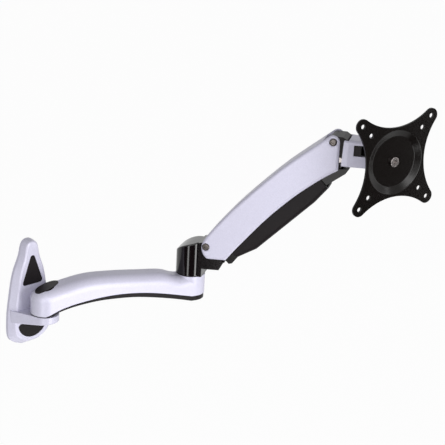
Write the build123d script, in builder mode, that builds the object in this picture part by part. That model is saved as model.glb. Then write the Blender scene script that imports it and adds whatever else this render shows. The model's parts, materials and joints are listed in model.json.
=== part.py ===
"""Full motion wall mount for a flat screen: wall plate, lower arm, gas spring arm and tilting plate.

Millimetres. The wall is the plane X = 0, +X leaves the wall and +Z is up. The origin is on the wall,
half way between the two wall screws. The arm stands raised, as an unloaded gas spring holds it.
"""
import os
from math import atan2, cos, degrees, radians, sin

from build123d import *

os.makedirs("parts", exist_ok=True)

# Attitude at rest: yaw in degrees from the wall's normal, pitch above the horizon
lower_yaw = 72.7
upper_yaw = 29.8
lift_pitch = 45.7
head_yaw = -14.0
plate_spin = 2.9

# Fits
run_gap = 0.05  # radial, a pin turning in its bore
face_gap = 0.1  # flat faces that slide on each other
lug_gap = 0.5  # each side of a lug in its fork
cap_gap = 0.2  # round a snap-in cap
washer_gap = 0.4  # radial, a loose washer round its shaft
eye_gap = 1.9  # radial, the gas spring's eye on its trunnion

# Wall plate
plate_top = 77.5
plate_bottom = 59.5
plate_flank = [(12.0, 61.0), (19.3, 43.0), (27.0, 10.0), (29.9, -10.0), (31.1, -36.0), (26.9, -51), (12, -59)]
plate_rim = 4.0
plate_front = 13.0
plate_inset = 5.5
plate_inset_from = 4.0  # half width where the inset begins
plate_inset_run = 21.0
plate_draft = 0.2  # share of the inset at the narrow top
plate_rise = 6.0
plate_edge_r = 2.5
screw_spacing = 80.0
screw_hole_r = 3.25
screw_seat_r = 7.0
screw_floor = 5.0
cap_seat = 2.4
cap_thick = 2.2
cap_edge_r = 0.6
upper_cap_top = 65.0
upper_cap_foot = 20.8
upper_cap_half = 16.0
upper_cap_corner = 3.5
lower_cap_top = -29.0
lower_cap_foot = -49.5
lower_cap_half = 22.0
lower_cap_corner = 3.5

# Wall pivot
reach = 40.0  # wall to pivot axis
ledge_half = 29.0
ledge_nose_r = 16.0
ledge_root_depth = 18.0
ledge_nose_depth = 9.0
ledge_edge_r = 2.0
ledge_web = 5.5  # metal between the washer and the nut
thrust_thick = 1.5
thrust_r = 12.2
bolt_r = 5.0
bolt_head_r = 8.5
bolt_head_thick = 6.0
disc_spring_r = 9.5
disc_spring_thick = 2.0
wall_bush_r = 7.0
bush_flange_r = 9.5
bush_flange_thick = 1.5
head_well_r = 10.4
head_well_floor = 14.0  # above the arm's underside
nut_r = 8.6
nut_thick = 6.0
nut_recess_r = 9.4

# Lower arm
lower_length = 196.0
lower_r = 19.0
arm_foot = -8.0  # level of the arm's underside at both ends
arm_wall = 3.0
heel_height = 29.5
slope_end = 20.0
crown_height = 36.6
arm_crest = [(0.255, 41.2), (0.39, 40.8), (0.53, 38.6), (0.675, 35.6), (0.815, 31.6)]  # share, height
elbow_fall = 0.18  # slope of the top where it meets the elbow
elbow_height = 26.0
arch_near = -0.035  # where the arch leaves the foot, as a share of the arm
arch_far = 0.97
arch_curve = [
    (0.825, 7.0),
    (0.7, 12.4),
    (0.56, 16.4),
    (0.423, 17.8),
    (0.326, 17.1),
    (0.23, 15.2),
    (0.136, 12.4),
    (0.089, 10.2),
    (0.042, 7.3),
    (0.006, 4.4),
]
arm_edge_r = 13.0
wall_hub_r = 12.4
elbow_hub_r = 15.5
cover_depth = 6.6  # at the elbow
cover_near = -0.018
cover_curve = [
    (0.828, 0.7),
    (0.7, 6.1),
    (0.56, 10.6),
    (0.423, 12.5),
    (0.328, 12.8),
    (0.232, 11.6),
    (0.137, 9.1),
    (0.09, 7.2),
    (0.043, 4.6),
    (0.011, 2.2),
]
cover_inset = 0.8
cover_wall = 1.8
cover_rim = 1.2  # round the foot of the wall hub
duct_start = 30.0
oval_length = 34.8
oval_width = 18.8
oval_shift = (0.8, 1.6)
oval_turn = 22.0
oval_seat = 1.8
oval_thick = 2.1

# Elbow
elbow_shaft_r = 8.0
elbow_bush_r = 10.0
elbow_stud_r = 6.0
elbow_well_r = 12.5
elbow_well_depth = 9.0
elbow_nut_r = 10.0
elbow_nut_thick = 6.0
elbow_plate_r = 11.5
elbow_plate_thick = 1.6
elbow_washer_thick = 1.2
elbow_washer_r = 18.2
knuckle_r = 18.75
shaft_grip = 28.0  # shaft length held in the knuckle

# Knuckle and lift pivot
lift_offset = 23.9  # elbow axis to lift pivot
lift_height = 70.0  # arm underside to lift pivot
knuckle_half = 16.3
hood_start = (-21.5, 43.0)  # elbow axis and arm underside to the back of the hood
hood_points = [(-12.9, 62.2), (-2.5, 68.0), (10.7, 72.0)]
hood_end = (20.0, 75.0)
hood_edge_r = 1.5
socket_neck = 13.0  # half width of the neck between the round socket and the cheeks
cheek_start = 13.2  # elbow axis to where the cheeks step out
cheek_blend_r = 0.8
knuckle_blend_r = 1.5
boss_r = 6.8
chin_top = (23.0, -19.2)  # from the lift pivot
chin_tip = (17.5, -29.8)
chin_foot = -31.0
boss_span = (100.0, -25.0)  # arc of the boss round the lift pivot
fork_half = 11.0
fork_back = 12.0  # elbow axis to the bottom of the fork
fork_roof = -1.0  # lift pivot to the fork's roof
link_drop = (9.0, -21.5)  # lift pivot to link pivot
pin_r = 4.0
pin_bush_r = 5.2
link_pin_r = 3.0
pin_cover = 2.5  # metal over the ends of the knuckle's blind pins
trunnion_drop = 13.0
trunnion_r = 2.5

# Spring arm shell; the first number of each edge point is a share of the length
upper_length = 215.9
shell_half = 19.5
shell_wall = 2.5
shell_roof = 3.0
shell_top = [
    (0.079, 10.8),
    (0.153, 12.6),
    (0.269, 14.8),
    (0.431, 16.0),
    (0.56, 16.0),
    (0.681, 15.2),
    (0.797, 13.2),
    (0.912, 10.5),
]
shell_top_end = (-6.0, 9.2)  # from the head pivot
shell_nose = [(0.0, 8.6), (4.8, 7.0), (7.6, 3.4), (8.0, -1.4), (6.1, -5.6)]  # from the head pivot
shell_tail = (-18.9, -30.4)  # from the head pivot
shell_under = [
    (0.806, -25.6),
    (0.736, -23.6),
    (0.667, -22.1),
    (0.519, -20.9),
    (0.357, -21.8),
    (0.269, -23.4),
    (0.093, -27.2),
]
shell_toe = (7.5, -29.0)
shell_heel_corner = (-10.5, -12.5)
shell_heel = [(-10.6, -6.0), (-7.6, 1.0), (-2.5, 5.6)]
shell_heel_top = (2.2, 7.7)
shell_toe_r = 3.0
shell_heel_corner_r = 5.0
shell_tail_r = 2.0
shell_edge_r = 3.5
heel_notch = 8.0
nose_notch = 8.5  # before the head pivot
pivot_screw_r = 2.5
pivot_head_r = 4.8
pivot_head_thick = 2.2
pivot_crown_r = 2.0
pivot_seat_r = 5.5
pivot_seat_depth = 1.0
pivot_screw_length = 9.0
hex_key = 1.9
hex_depth = 1.2

# Gas spring
anchor_back = 30.4  # before the head pivot
anchor_drop = -3.0
anchor_r = 4.0
anchor_eye_r = 7.0
anchor_eye_half = 6.0
tube_r = 9.0
tube_wall = 1.2
tube_start = 9.0
tube_length = 112.0
tube_floor = 5.0
gland_length = 6.0
rod_r = 4.0
piston_length = 8.0
piston_depth = 60.0  # gland to piston
rod_eye_r = 7.4
rod_eye_half = 5.0

# Lower link and its cable cover
link_lug_in = 7.0
link_lug_out = 10.5
link_lug_r = 7.0
link_end_r = 9.0
link_web_in = 10.0
link_web_out = 13.0
link_wide_start = 15.0
link_wide_end = 12.6  # before the head end
link_lip = 3.0
link_floor = 5.5
link_floor_thick = 2.0
link_heel_depth = 14.0
link_heel_run = 4.0
link_heel_sag = 2.2
link_lip_points = [(-20.0, -16.0), (-6.9, -17.9), (0.6, -16.2), (-9.9, -8.0)]  # from the head end
link_end_gap = 0.35  # radial, round the pin in the head
tray_start = 30.0
tray_back = 35.0  # before the head end
tray_bevel = 25.0
tray_depth = 21.4
tray_heel_run = 27.0
tray_heel_depth = 14.6
tray_toe_depth = 18.6
tray_half = 15.0
tray_wall = 1.8
tray_edge_r = 4.5

# Head
swivel_offset = 45.0  # head pivot to swivel axis
hood_r = 6.6
hood_flat = 11.0
hood_brow = (16.0, 3.5)
pocket_end = 18.5
head_edge_r = 1.2
block_waist = [(4.0, -28.3), (-1.0, -22.0), (-1.0, -11.0), (-4.7, -4.7)]
block_chin = (15.0, -28.3)
block_slot_top = -9.0
housing_back_top = 12.9
housing_back_foot = 11.4
housing_top = 4.0
housing_foot = -28.6
housing_half = 18.6
housing_nose_r = 15.5
housing_top_r = 4.5
housing_edge_r = 1.5
swivel_slot_back = 25.2
swivel_slot_top = -1.0
swivel_slot_foot = -14.5
swivel_bolt_r = 4.0
swivel_head_r = 7.0
swivel_head_thick = 4.5
swivel_nut_r = 7.4
swivel_nut_thick = 3.0
swivel_recess_r = 8.0
swivel_washer_thick = 1.0
tongue_nose = 34.0  # front of the tongue that closes the slot
tongue_gap = 0.5

# Swivel, tilt and screen plate
barrel_r = 14.0
neck_half = 8.0
tilt_offset = 25.0  # swivel axis to tilt axis
face_offset = 44.5  # swivel axis to the screen plate's face
tilt_drop = 12.1  # head pivot to tilt axis
tilt_lug_r = 8.0
tilt_washer_thick = 1.0
tilt_washer_r = 7.5
cheek_thick = 3.5
cheek_r = 7.8
tilt_bolt_r = 4.0
tilt_head_r = 6.6
tilt_head_thick = 4.0
hub_r = 20.0
hub_thick = 3.4
friction_r = 19.0
friction_thick = 0.9
vesa_outer = 100.0
vesa_inner = 75.0
vesa_hole_r = 2.9
vesa_lobe_r = 8.9
vesa_waist = 42.5
vesa_thick = 2.3
dish_depth = 4.0
dish_floor_r = 31.0
dish_rim_r = 39.0
dish_bend = 0.9
dish_edge_r = 2.0
centre_bolt_r = 4.0
centre_head_r = 6.0
centre_head_thick = 3.2
centre_key = 2.5
centre_key_depth = 2.2


def heading(yaw):
    return Vector(cos(radians(yaw)), sin(radians(yaw)), 0)


def side_plane(origin, yaw, pitch=0.0):
    """Upright plane along a heading: x runs along it, y is up and z points to its right."""
    along = heading(yaw) * cos(radians(pitch)) + Vector(0, 0, sin(radians(pitch)))
    return Plane(origin=origin, x_dir=along, z_dir=heading(yaw - 90))


def plan_plane(origin, yaw):
    return Plane(origin=origin, x_dir=heading(yaw), z_dir=(0, 0, 1))


def up(height):
    return Vector(0, 0, height)


def shifted(points, x, y):
    return [(px + x, py + y) for px, py in points]


# Axes of the joints
wall_axis = Vector(reach, 0, arm_foot)
elbow_axis = wall_axis + heading(lower_yaw) * lower_length
lift_pivot = elbow_axis + heading(upper_yaw) * lift_offset + up(lift_height)
link_pivot = lift_pivot + heading(upper_yaw) * link_drop[0] + up(link_drop[1])
trunnion = lift_pivot - up(trunnion_drop)

wall_face = Plane(origin=(0, 0, 0), x_dir=(0, 1, 0), z_dir=(1, 0, 0))
lower_plan = plan_plane(wall_axis, lower_yaw)
lower_side = side_plane(wall_axis, lower_yaw)
elbow_plan = plan_plane(elbow_axis, upper_yaw)
elbow_side = side_plane(elbow_axis, upper_yaw)
shell_side = side_plane(lift_pivot, upper_yaw, lift_pitch)
link_side = side_plane(link_pivot, upper_yaw, lift_pitch)

head_pivot = shell_side.from_local_coords(Vector(upper_length, 0, 0))
link_end = link_side.from_local_coords(Vector(upper_length, 0, 0))
anchor = shell_side.from_local_coords(Vector(upper_length - anchor_back, anchor_drop, 0))
swivel_axis = head_pivot + heading(upper_yaw) * swivel_offset
head_side = side_plane(head_pivot, upper_yaw)
head_plan = plan_plane(head_pivot, upper_yaw)

tilt_axis = swivel_axis + heading(head_yaw) * tilt_offset
tilt_axis = tilt_axis - up(tilt_drop)
swivel_plan = plan_plane(swivel_axis, head_yaw)
tilt_side = side_plane(tilt_axis, head_yaw)
plate_centre = tilt_axis + heading(head_yaw) * (face_offset - tilt_offset)
plate_right = heading(head_yaw + 90) * cos(radians(plate_spin)) + up(sin(radians(plate_spin)))
plate_face = Plane(origin=plate_centre, x_dir=plate_right, z_dir=heading(head_yaw))


# Wall plate, its ledge and its two screw caps
def plate_outline(inset, rise):
    """Shield outline drawn in by an inset at the wide part of the flanks and a rise at the bottom."""
    bottom = plate_bottom - rise
    flank = []
    for half, height in plate_flank:
        scale = 1.0 if height > 0 else bottom / plate_bottom
        share = (half - plate_inset_from) / plate_inset_run
        flank.append((half - inset * min(1.0, max(plate_draft, share)), height * scale))
    with BuildLine() as outline:
        Spline((0, plate_top - inset * plate_draft), *flank, (0, -bottom), tangents=[(1, 0), (-1, 0)])
        mirror(about=Plane.YZ)
    make_face(outline.edges())


def upper_cap_outline(grow):
    corners = [(-upper_cap_half, upper_cap_foot), (upper_cap_half, upper_cap_foot), (0, upper_cap_top)]
    with BuildSketch(mode=Mode.PRIVATE) as cap:
        Polygon(*corners, align=None)
        fillet(cap.vertices(), upper_cap_corner)
        offset(amount=grow)
    add(cap.sketch)


def lower_cap_outline(grow):
    left = (-lower_cap_half, lower_cap_top)
    right = (lower_cap_half, lower_cap_top)
    with BuildSketch(mode=Mode.PRIVATE) as cap:
        with BuildLine():
            ThreePointArc(left, (0, lower_cap_foot), right)
            Line(right, left)
        make_face()
        fillet(cap.vertices(), lower_cap_corner)
        offset(amount=grow)
    add(cap.sketch)


ledge_top = arm_foot - thrust_thick - face_gap
nut_floor = ledge_top - ledge_web
slant = degrees(atan2(ledge_root_depth - ledge_nose_depth, reach + ledge_nose_r))

with BuildPart() as wall_ledge:
    with BuildSketch(Plane.XY.offset(ledge_top)):
        with Locations((reach, 0)):
            Circle(ledge_nose_r)
        with Locations((plate_rim, 0)):
            Rectangle(2 * plate_rim, 2 * ledge_half)
        make_hull()
    extrude(amount=-ledge_root_depth)
    under = Plane(
        origin=(0, 0, ledge_top - ledge_root_depth),
        x_dir=(cos(radians(slant)), 0, sin(radians(slant))),
        z_dir=(-sin(radians(slant)), 0, cos(radians(slant))),
    )
    split(bisect_by=under, keep=Keep.TOP)
    fillet(wall_ledge.edges().sort_by(Axis.Z)[:4], ledge_edge_r)

with BuildPart() as wall_plate:
    with BuildSketch(wall_face):
        plate_outline(0, 0)
    extrude(amount=plate_rim)
    with BuildSketch(wall_face.offset(plate_rim)):
        plate_outline(0, 0)
    with BuildSketch(wall_face.offset(plate_front)):
        plate_outline(plate_inset, plate_rise)
    loft()
    fillet(wall_plate.faces().sort_by(Axis.X)[-1].edges(), plate_edge_r)
    add(wall_ledge.part)
    with BuildSketch(wall_face.offset(plate_front - cap_seat)):
        upper_cap_outline(cap_gap)
        lower_cap_outline(cap_gap)
    extrude(amount=cap_seat, mode=Mode.SUBTRACT)
    with Locations(wall_face.offset(plate_front - cap_seat)):
        with GridLocations(0, screw_spacing, 1, 2):
            CounterBoreHole(screw_hole_r, screw_seat_r, plate_front - cap_seat - screw_floor)
    with Locations(Plane.XY.offset(ledge_top)):
        with Locations((reach, 0)):
            Hole(bolt_r)
    with BuildSketch(Plane.XY.offset(nut_floor)):
        with Locations((reach, 0)):
            Circle(nut_recess_r)
    extrude(amount=-ledge_root_depth, mode=Mode.SUBTRACT)
wall_plate.part.label = "wall_plate"
export_step(wall_plate.part, "parts/wall_plate.step")

with BuildPart() as upper_screw_cap:
    with BuildSketch(wall_face.offset(plate_front - cap_seat)):
        upper_cap_outline(0)
    extrude(amount=cap_thick)
    fillet(upper_screw_cap.faces().sort_by(Axis.X)[-1].edges(), cap_edge_r)
upper_screw_cap.part.label = "upper_screw_cap"
export_step(upper_screw_cap.part, "parts/upper_screw_cap.step")

with BuildPart() as lower_screw_cap:
    with BuildSketch(wall_face.offset(plate_front - cap_seat)):
        lower_cap_outline(0)
    extrude(amount=cap_thick)
    fillet(lower_screw_cap.faces().sort_by(Axis.X)[-1].edges(), cap_edge_r)
lower_screw_cap.part.label = "lower_screw_cap"
export_step(lower_screw_cap.part, "parts/lower_screw_cap.step")

# Wall pivot hardware
bolt_seat = arm_foot + head_well_floor + bush_flange_thick + face_gap
wall_axis_xy = (reach, 0)

with BuildPart() as wall_thrust_washer:
    with BuildSketch(Plane.XY.offset(ledge_top)):
        with Locations(wall_axis_xy):
            Circle(thrust_r)
            Circle(bolt_r, mode=Mode.SUBTRACT)
    extrude(amount=thrust_thick)
wall_thrust_washer.part.label = "wall_thrust_washer"
export_step(wall_thrust_washer.part, "parts/wall_thrust_washer.step")

with BuildPart() as wall_disc_springs:
    with BuildSketch(Plane.XY.offset(bolt_seat)):
        with Locations(wall_axis_xy):
            Circle(disc_spring_r)
            Circle(bolt_r, mode=Mode.SUBTRACT)
    extrude(amount=disc_spring_thick)
wall_disc_springs.part.label = "wall_disc_springs"
export_step(wall_disc_springs.part, "parts/wall_disc_springs.step")

with BuildPart() as wall_pivot_bolt:
    with BuildSketch(Plane.XY.offset(bolt_seat + disc_spring_thick)):
        with Locations(wall_axis_xy):
            RegularPolygon(bolt_head_r, 6)
    extrude(amount=bolt_head_thick)
    with BuildSketch(Plane.XY.offset(nut_floor - nut_thick)):
        with Locations(wall_axis_xy):
            Circle(bolt_r)
    extrude(amount=bolt_seat + disc_spring_thick - nut_floor + nut_thick)
wall_pivot_bolt.part.label = "wall_pivot_bolt"
export_step(wall_pivot_bolt.part, "parts/wall_pivot_bolt.step")

with BuildPart() as wall_pivot_nut:
    with BuildSketch(Plane.XY.offset(nut_floor)):
        with Locations(wall_axis_xy):
            RegularPolygon(nut_r, 6)
            Circle(bolt_r, mode=Mode.SUBTRACT)
    extrude(amount=-nut_thick)
wall_pivot_nut.part.label = "wall_pivot_nut"
export_step(wall_pivot_nut.part, "parts/wall_pivot_nut.step")


# Lower arm: a hollow arch with a hub at each end
slope = degrees(atan2(crown_height - heel_height, slope_end + lower_r))
slope_dir = (cos(radians(slope)), sin(radians(slope)))
far_flat = lower_length - lower_r
crest_top = max(height for share, height in arm_crest)
arch_from = arch_near * lower_length
arch_to = arch_far * lower_length
arch_rise = max(height for share, height in arch_curve)
crest_level = arm_foot + elbow_height - arm_edge_r / 2


def arm_top(drop):
    """Top edge from heel to elbow, lowered by a drop."""
    heel = (-lower_r, heel_height - drop)
    crown = (slope_end, crown_height - drop)
    crest = [(share * lower_length, height - drop) for share, height in arm_crest]
    elbow = (far_flat, elbow_height - drop)
    Line(heel, crown)
    Spline(crown, *crest, elbow, tangents=[slope_dir, (1, -elbow_fall)])
    Line(elbow, (lower_length + lower_r, elbow_height - drop))


def arm_arch():
    """Underside from elbow back to heel."""
    curve = [(share * lower_length, height) for share, height in arch_curve]
    Spline((arch_to, 0), *curve, (arch_from, cover_rim))


with BuildPart() as arm_cavity:
    with BuildSketch(lower_plan):
        with Locations((lower_length / 2, 0)):
            SlotCenterToCenter(lower_length, 2 * (lower_r - arm_wall))
    extrude(amount=crest_top)
    with BuildSketch(lower_side):
        with BuildLine():
            arm_top(arm_wall)
            Line((lower_length + lower_r, elbow_height - arm_wall), (lower_length + lower_r, 0))
            Line((lower_length + lower_r, 0), (-lower_r, 0))
            Line((-lower_r, 0), (-lower_r, heel_height - arm_wall))
        make_face()
    extrude(amount=lower_r, both=True, mode=Mode.INTERSECT)
    roof_level = crest_level - arm_wall
    fillet(arm_cavity.edges().filter_by(lambda edge: edge.center().Z > roof_level), arm_edge_r - arm_wall)
    with BuildSketch(lower_plan):
        Circle(wall_hub_r)
        with Locations((lower_length, 0)):
            Circle(elbow_hub_r)
    extrude(amount=crown_height, mode=Mode.SUBTRACT)

slope_mid = lower_side.from_local_coords(
    Vector((slope_end - lower_r) / 2, (heel_height + crown_height) / 2, 0)
)
slope_side = side_plane(slope_mid, lower_yaw, slope)
oval_face = Plane(origin=slope_mid, x_dir=slope_side.x_dir, z_dir=slope_side.y_dir)

with BuildPart() as lower_arm:
    with BuildSketch(lower_plan):
        with Locations((lower_length / 2, 0)):
            SlotCenterToCenter(lower_length, 2 * lower_r)
    extrude(amount=crest_top + arm_wall)
    with BuildSketch(lower_side):
        with BuildLine():
            arm_top(0)
            Line((lower_length + lower_r, elbow_height), (lower_length + lower_r, 0))
            Line((lower_length + lower_r, 0), (arch_to, 0))
            arm_arch()
            Line((arch_from, cover_rim), (-lower_r, cover_rim))
            Line((-lower_r, cover_rim), (-lower_r, heel_height))
        make_face()
    extrude(amount=lower_r, both=True, mode=Mode.INTERSECT)
    fillet(lower_arm.edges().filter_by(lambda edge: edge.center().Z > crest_level), arm_edge_r)
    with BuildSketch(lower_plan):
        with Locations((lower_length, 0)):
            Circle(lower_r)
    extrude(amount=elbow_height)
    with BuildSketch(lower_plan):
        Circle(wall_hub_r)
    extrude(amount=head_well_floor)
    add(arm_cavity.part, mode=Mode.SUBTRACT)
    with BuildSketch(lower_plan):
        Circle(wall_bush_r)
        with Locations((lower_length, 0)):
            Circle(elbow_bush_r)
    extrude(amount=crown_height, mode=Mode.SUBTRACT)
    with BuildSketch(lower_plan.offset(head_well_floor)):
        Circle(head_well_r)
    extrude(amount=crown_height, mode=Mode.SUBTRACT)
    with BuildSketch(lower_plan):
        with Locations((lower_length, 0)):
            Circle(elbow_well_r)
    extrude(amount=elbow_well_depth, mode=Mode.SUBTRACT)
    with BuildSketch(oval_face.offset(-oval_seat)):
        with Locations(oval_shift):
            Ellipse(oval_length / 2 + cap_gap, oval_width / 2 + cap_gap, rotation=oval_turn)
    extrude(amount=oval_seat + arm_wall, mode=Mode.SUBTRACT)
lower_arm.part.label = "lower_arm"
export_step(lower_arm.part, "parts/lower_arm.step")


def cover_band(lift):
    """Closed edge of the strip that hangs below the arch, its underside raised by a lift."""
    tip = (cover_near * lower_length, lift)
    curve = [(share * lower_length, height + lift) for share, height in cover_curve]
    foot = (arch_to, lift - cover_depth)
    end = (lower_length + lower_r, lift - cover_depth)
    Line((lower_length + lower_r, 0), (arch_to, 0))
    arm_arch()
    Line((arch_from, cover_rim), tip)
    Spline(tip, *reversed(curve), foot)
    Polyline(foot, end, (lower_length + lower_r, 0))


with BuildPart() as cover_duct:
    with BuildSketch(lower_plan.offset(-cover_depth)):
        with Locations((lower_length / 2, 0)):
            SlotCenterToCenter(lower_length, 2 * (lower_r - cover_inset - cover_wall))
    extrude(amount=cover_depth + arch_rise)
    with BuildSketch(lower_side):
        with BuildLine():
            cover_band(cover_wall)
        make_face()
    extrude(amount=lower_r, both=True, mode=Mode.INTERSECT)
    duct_end = Plane(origin=wall_axis + heading(lower_yaw) * duct_start, z_dir=heading(lower_yaw))
    split(bisect_by=duct_end, keep=Keep.TOP)

with BuildPart() as lower_cable_cover:
    with BuildSketch(lower_plan.offset(-cover_depth)):
        with Locations((lower_length / 2, 0)):
            SlotCenterToCenter(lower_length, 2 * (lower_r - cover_inset))
    extrude(amount=cover_depth + arch_rise)
    with BuildSketch(lower_side):
        with BuildLine():
            cover_band(0)
        make_face()
        with BuildLine():
            Polyline((-lower_r, cover_rim), (-lower_r, 0), (cover_near * lower_length, 0))
            Polyline((cover_near * lower_length, 0), (arch_from, cover_rim), (-lower_r, cover_rim))
        make_face()
    extrude(amount=lower_r, both=True, mode=Mode.INTERSECT)
    add(cover_duct.part, mode=Mode.SUBTRACT)
    with BuildSketch(lower_plan):
        Circle(wall_hub_r + cap_gap)
    extrude(amount=arch_rise, mode=Mode.SUBTRACT)
lower_cable_cover.part.label = "lower_cable_cover"
export_step(lower_cable_cover.part, "parts/lower_cable_cover.step")

with BuildPart() as wall_pivot_cap:
    with BuildSketch(oval_face.offset(-oval_seat)):
        with Locations(oval_shift):
            Ellipse(oval_length / 2, oval_width / 2, rotation=oval_turn)
    extrude(amount=oval_thick)
    fillet(wall_pivot_cap.edges().sort_by(Axis(slope_mid, oval_face.z_dir))[-1], cap_edge_r)
wall_pivot_cap.part.label = "wall_pivot_cap"
export_step(wall_pivot_cap.part, "parts/wall_pivot_cap.step")

with BuildPart() as wall_bush:
    with BuildSketch(lower_plan):
        Circle(wall_bush_r)
    extrude(amount=head_well_floor)
    with BuildSketch(lower_plan.offset(head_well_floor)):
        Circle(bush_flange_r)
    extrude(amount=bush_flange_thick)
    with Locations(lower_plan):
        Hole(bolt_r + run_gap)
wall_bush.part.label = "wall_bush"
export_step(wall_bush.part, "parts/wall_bush.step")

with BuildPart() as elbow_bush:
    with BuildSketch(elbow_plan.offset(elbow_well_depth)):
        Circle(elbow_bush_r)
        Circle(elbow_shaft_r + run_gap, mode=Mode.SUBTRACT)
    extrude(amount=elbow_height - elbow_well_depth)
elbow_bush.part.label = "elbow_bush"
export_step(elbow_bush.part, "parts/elbow_bush.step")

with BuildPart() as elbow_washer:
    with BuildSketch(elbow_plan.offset(elbow_height)):
        Circle(elbow_washer_r)
        Circle(elbow_shaft_r + washer_gap, mode=Mode.SUBTRACT)
    extrude(amount=elbow_washer_thick)
elbow_washer.part.label = "elbow_washer"
export_step(elbow_washer.part, "parts/elbow_washer.step")


# Elbow knuckle: the shaft's socket below, the fork of the spring arm above
knuckle_base = elbow_height + elbow_washer_thick + face_gap
lift_local = (lift_offset, lift_height)
link_local = (lift_offset + link_drop[0], lift_height + link_drop[1])
trunnion_local = (lift_offset, lift_height - trunnion_drop)
tongue_end = lift_offset + chin_top[0] + boss_r
pin_reach = knuckle_half - pin_cover


def round_point(centre, radius, angle):
    """Point on a circle at an angle in degrees."""
    return (centre[0] + radius * cos(radians(angle)), centre[1] + radius * sin(radians(angle)))


def knuckle_profile():
    """Side view of the knuckle from the hood round the boss to the chin."""
    boss_from = round_point(lift_local, boss_r, boss_span[0])
    boss_mid = round_point(lift_local, boss_r, sum(boss_span) / 2)
    boss_to = round_point(lift_local, boss_r, boss_span[1])
    chin = shifted([chin_top, chin_tip, (0, chin_foot)], *lift_local)
    foot_back = (knuckle_r, lift_height + chin_foot)
    with BuildLine() as outline:
        Spline(hood_start, *hood_points, hood_end)
        Line(hood_end, boss_from)
        ThreePointArc(boss_from, boss_mid, boss_to)
        Polyline(boss_to, *chin, foot_back, (knuckle_r, 0), (hood_start[0], 0), hood_start)
    make_face(outline.edges())


with BuildPart() as knuckle_cheeks:
    with BuildSketch(elbow_plan.offset(knuckle_base)) as cheek_plan:
        with Locations(((cheek_start + tongue_end) / 2, 0)):
            Rectangle(tongue_end - cheek_start, 2 * knuckle_half)
        fillet(cheek_plan.vertices().sort_by(Axis.X)[:2], cheek_blend_r)
    extrude(amount=lift_height)
    with BuildSketch(elbow_side):
        knuckle_profile()
    extrude(amount=knuckle_r, both=True, mode=Mode.INTERSECT)

with BuildPart() as elbow_knuckle:
    with BuildSketch(elbow_plan.offset(knuckle_base)) as knuckle_plan:
        Circle(knuckle_r)
        with Locations((tongue_end / 2, 0)):
            Rectangle(tongue_end, 2 * socket_neck)
        fillet(knuckle_plan.vertices().sort_by(Axis.X)[:2], knuckle_blend_r)
    extrude(amount=lift_height)
    with BuildSketch(elbow_side):
        knuckle_profile()
    extrude(amount=knuckle_r, both=True, mode=Mode.INTERSECT)
    hood_near = elbow_side.from_local_coords(Vector(*hood_points[1], 0))
    hood_face = elbow_knuckle.faces().sort_by_distance(hood_near)[0]
    fillet(hood_face.edges().filter_by(Axis(lift_pivot, elbow_side.z_dir), reverse=True), hood_edge_r)
    add(knuckle_cheeks.part)
    fork_top = lift_height + fork_roof
    fork_foot = lift_height + chin_foot - face_gap
    fork = [(fork_back, fork_top), (fork_back, link_local[1]), (knuckle_r, fork_foot)]
    fork_open = [(tongue_end, fork_foot), (tongue_end, 2 * lift_height), (hood_end[0], 2 * lift_height)]
    with BuildSketch(elbow_side):
        Polygon(*fork, *fork_open, (hood_end[0], fork_top), align=None)
    extrude(amount=fork_half, both=True, mode=Mode.SUBTRACT)
    with BuildSketch(elbow_side):
        with Locations(lift_local):
            Circle(pin_bush_r)
    extrude(amount=knuckle_r, both=True, mode=Mode.SUBTRACT)
    with BuildSketch(elbow_side):
        with Locations(link_local):
            Circle(link_pin_r)
        with Locations(trunnion_local):
            Circle(trunnion_r)
    extrude(amount=pin_reach, both=True, mode=Mode.SUBTRACT)
    with BuildSketch(elbow_plan.offset(knuckle_base)):
        Circle(elbow_shaft_r)
    extrude(amount=shaft_grip, mode=Mode.SUBTRACT)
elbow_knuckle.part.label = "elbow_knuckle"
export_step(elbow_knuckle.part, "parts/elbow_knuckle.step")

shaft_foot = elbow_well_depth - face_gap
nut_top = shaft_foot - elbow_plate_thick

with BuildPart() as elbow_shaft:
    with BuildSketch(elbow_plan.offset(shaft_foot)):
        Circle(elbow_shaft_r)
    extrude(amount=knuckle_base + shaft_grip - shaft_foot)
    with BuildSketch(elbow_plan.offset(nut_top - elbow_nut_thick)):
        Circle(elbow_stud_r)
    extrude(amount=elbow_nut_thick + elbow_plate_thick)
elbow_shaft.part.label = "elbow_shaft"
export_step(elbow_shaft.part, "parts/elbow_shaft.step")

with BuildPart() as elbow_nut_washer:
    with BuildSketch(elbow_plan.offset(nut_top)):
        Circle(elbow_plate_r)
        Circle(elbow_stud_r, mode=Mode.SUBTRACT)
    extrude(amount=elbow_plate_thick)
elbow_nut_washer.part.label = "elbow_nut_washer"
export_step(elbow_nut_washer.part, "parts/elbow_nut_washer.step")

with BuildPart() as elbow_nut:
    with BuildSketch(elbow_plan.offset(nut_top)):
        RegularPolygon(elbow_nut_r, 6)
        Circle(elbow_stud_r, mode=Mode.SUBTRACT)
    extrude(amount=-elbow_nut_thick)
elbow_nut.part.label = "elbow_nut"
export_step(elbow_nut.part, "parts/elbow_nut.step")

with BuildPart() as lift_bushes:
    for side in (1, -1):
        with BuildSketch(side_plane(lift_pivot, upper_yaw).offset(side * fork_half)):
            Circle(pin_bush_r)
            Circle(pin_r + run_gap, mode=Mode.SUBTRACT)
        extrude(amount=side * (knuckle_half - fork_half))
lift_bushes.part.label = "lift_bushes"
export_step(lift_bushes.part, "parts/lift_bushes.step")

with BuildPart() as link_pivot_pins:
    for side in (1, -1):
        with BuildSketch(side_plane(link_pivot, upper_yaw).offset(side * link_lug_in)):
            Circle(link_pin_r)
        extrude(amount=side * (pin_reach - link_lug_in))
link_pivot_pins.part.label = "link_pivot_pins"
export_step(link_pivot_pins.part, "parts/link_pivot_pins.step")

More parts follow.
